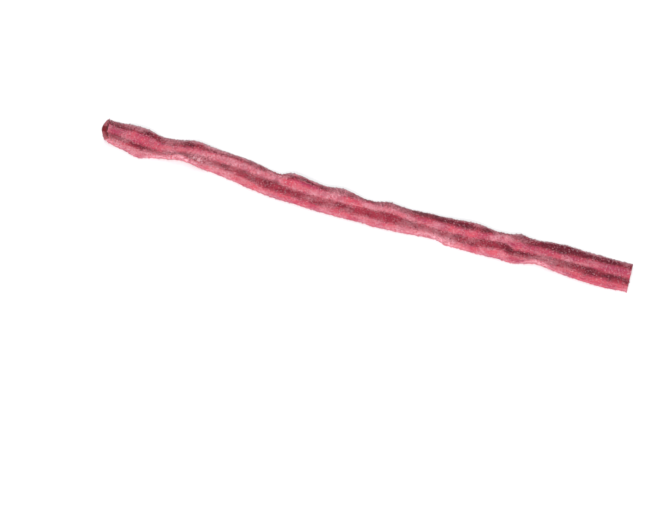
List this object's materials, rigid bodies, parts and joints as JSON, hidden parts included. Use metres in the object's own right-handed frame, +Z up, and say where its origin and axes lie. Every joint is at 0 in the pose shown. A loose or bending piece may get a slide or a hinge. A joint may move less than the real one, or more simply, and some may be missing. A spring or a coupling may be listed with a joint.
{
  "type": "candy belt",
  "caption": "Long flat sugared candy ribbon of side-by-side dark and pink strands, lying on a table in small waves, with a drooping far edge, two folds along the near edge and a slanted tip.",
  "frame": {"origin": "under the middle of the belt's box, on the table it lies on", "axes": "+X along the belt from the slanted tip to the square end, +Y across it to the far edge, where the outer dark strand is, +Z up"},
  "size_m": [0.2426, 0.0186, 0.0069],
  "materials": {
    "dark_candy": "dark maroon sour candy, slightly see-through, coated with fine white sugar",
    "pink_candy": "pink sour candy, slightly see-through, coated with fine white sugar"
  },
  "bodies": {
    "root": {"strand_pink_near": "pink_candy", "strand_dark_near": "dark_candy", "strand_pink_far": "pink_candy", "strand_dark_far": "dark_candy"}
  },
  "joints": []
}
